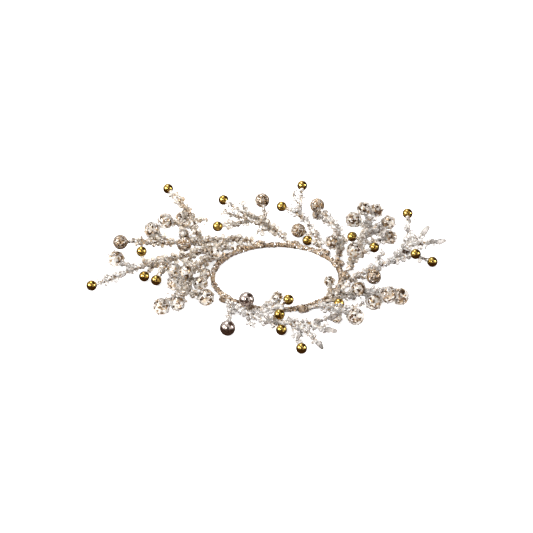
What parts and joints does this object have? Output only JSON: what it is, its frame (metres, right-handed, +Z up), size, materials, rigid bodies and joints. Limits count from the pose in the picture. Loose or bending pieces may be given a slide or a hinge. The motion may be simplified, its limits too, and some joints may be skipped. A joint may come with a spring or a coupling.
{
  "type": "candle ring",
  "caption": "Flat table ring for a pillar candle: a glitter-taped wire hoop with swirling bendable sprigs of bead-iced twigs, gold berries, glitter balls and clear drops.",
  "frame": {"origin": "centre of the candle opening, on the table plane", "axes": "+Z up from the table, +X to the right and +Y to the back in the picture"},
  "size_m": [0.2797, 0.2158, 0.0353],
  "materials": {
    "hoop_wire": "satin",
    "soft_wire": "dull",
    "glitter_tape": "champagne glitter",
    "iced_moulding": "clear beads over champagne glitter",
    "gold_berry": "mirror gold",
    "glitter_ball": "fine glitter",
    "iced_berry": "clear beads over champagne",
    "crystal_drop": "clear"
  },
  "bodies": {
    "hoop": {"hoop_wire": "hoop_wire", "hoop_wrap": "glitter_tape", "root_tails": "soft_wire", "root_bindings": "glitter_tape"},
    "back_left": {"back_left_wires": "soft_wire", "back_left_stem": "iced_moulding", "back_left_gold_berries": "gold_berry", "back_left_glitter_balls": "glitter_ball"},
    "back_mid": {"back_mid_wires": "soft_wire", "back_mid_stem": "iced_moulding", "back_mid_gold_berries": "gold_berry", "back_mid_glitter_balls": "glitter_ball"},
    "back_right": {"back_right_wires": "soft_wire", "back_right_stem": "iced_moulding", "back_right_glitter_balls": "glitter_ball", "back_right_iced_berries": "iced_berry", "back_right_gold_berries": "gold_berry"},
    "right_cluster": {"right_cluster_wires": "soft_wire", "right_cluster_stem": "iced_moulding", "right_cluster_iced_berries": "iced_berry", "right_cluster_gold_berries": "gold_berry"},
    "right_long": {"right_long_wires": "soft_wire", "right_long_stem": "iced_moulding", "right_long_twigs": "iced_moulding", "right_long_glitter_balls": "glitter_ball", "right_long_gold_berries": "gold_berry", "right_long_crystal_drops": "crystal_drop"},
    "right_front": {"right_front_wires": "soft_wire", "right_front_stem": "iced_moulding", "right_front_iced_berries": "iced_berry"},
    "front_right": {"front_right_wires": "soft_wire", "front_right_stem": "iced_moulding", "front_right_gold_berries": "gold_berry", "front_right_iced_berries": "iced_berry"},
    "front_short": {"front_short_wires": "soft_wire", "front_short_stem": "iced_moulding", "front_short_gold_berries": "gold_berry", "front_short_iced_berries": "iced_berry"},
    "front_long": {"front_long_wires": "soft_wire", "front_long_stem": "iced_moulding", "front_long_twigs": "iced_moulding", "front_long_glitter_balls": "glitter_ball", "front_long_gold_berries": "gold_berry", "front_long_crystal_drops": "crystal_drop"},
    "left_cluster": {"left_cluster_wires": "soft_wire", "left_cluster_stem": "iced_moulding", "left_cluster_twigs": "iced_moulding", "left_cluster_iced_berries": "iced_berry"},
    "left_long": {"left_long_wires": "soft_wire", "left_long_stem": "iced_moulding", "left_long_twigs": "iced_moulding", "left_long_gold_berries": "gold_berry", "left_long_iced_berries": "iced_berry"},
    "left_upper": {"left_upper_wires": "soft_wire", "left_upper_stem": "iced_moulding", "left_upper_twigs": "iced_moulding", "left_upper_glitter_balls": "glitter_ball", "left_upper_iced_berries": "iced_berry", "left_upper_gold_berries": "gold_berry"}
  },
  "joints": [
    {"name": "back_left_bend", "type": "hinge", "parent": "hoop", "child": "back_left", "pos_m": [0.00941, 0.05338, 0.0023], "axis": [0.6661, 0.7459, 0], "range_deg": [0, 40]},
    {"name": "back_mid_bend", "type": "hinge", "parent": "hoop", "child": "back_mid", "pos_m": [0.03484, 0.04152, 0.0023], "axis": [0.9873, 0.1586, 0], "range_deg": [0, 40]},
    {"name": "back_right_bend", "type": "hinge", "parent": "hoop", "child": "back_right", "pos_m": [0.04786, 0.02544, 0.0023], "axis": [0.9801, -0.1985, 0], "range_deg": [0, 40]},
    {"name": "right_cluster_bend", "type": "hinge", "parent": "hoop", "child": "right_cluster", "pos_m": [0.0539, 0.00566, 0.0023], "axis": [0.8602, -0.51, 0], "range_deg": [0, 40]},
    {"name": "right_long_bend", "type": "hinge", "parent": "hoop", "child": "right_long", "pos_m": [0.05093, -0.01854, 0.0023], "axis": [0.8052, -0.5929, 0], "range_deg": [0, 40]},
    {"name": "right_front_bend", "type": "hinge", "parent": "hoop", "child": "right_front", "pos_m": [0.03765, -0.03899, 0.0023], "axis": [0.1295, -0.9916, 0], "range_deg": [0, 40]},
    {"name": "front_right_bend", "type": "hinge", "parent": "hoop", "child": "front_right", "pos_m": [0.02461, -0.04829, 0.0023], "axis": [-0.1679, -0.9858, 0], "range_deg": [0, 40]},
    {"name": "front_short_bend", "type": "hinge", "parent": "hoop", "child": "front_short", "pos_m": [-0.01675, -0.05155, 0.0023], "axis": [-0.8144, -0.5803, 0], "range_deg": [0, 40]},
    {"name": "front_long_bend", "type": "hinge", "parent": "hoop", "child": "front_long", "pos_m": [-0.03765, -0.03899, 0.0023], "axis": [-0.9418, -0.3361, 0], "range_deg": [0, 40]},
    {"name": "left_cluster_bend", "type": "hinge", "parent": "hoop", "child": "left_cluster", "pos_m": [-0.04694, 0.0271, 0.0023], "axis": [-0.5338, 0.8456, 0], "range_deg": [0, 40]},
    {"name": "left_long_bend", "type": "hinge", "parent": "hoop", "child": "left_long", "pos_m": [-0.03337, 0.04271, 0.0023], "axis": [-0.1606, 0.987, 0], "range_deg": [0, 40]},
    {"name": "left_upper_bend", "type": "hinge", "parent": "hoop", "child": "left_upper", "pos_m": [-0.01854, 0.05093, 0.0023], "axis": [0.285, 0.9585, 0], "range_deg": [0, 40]}
  ]
}
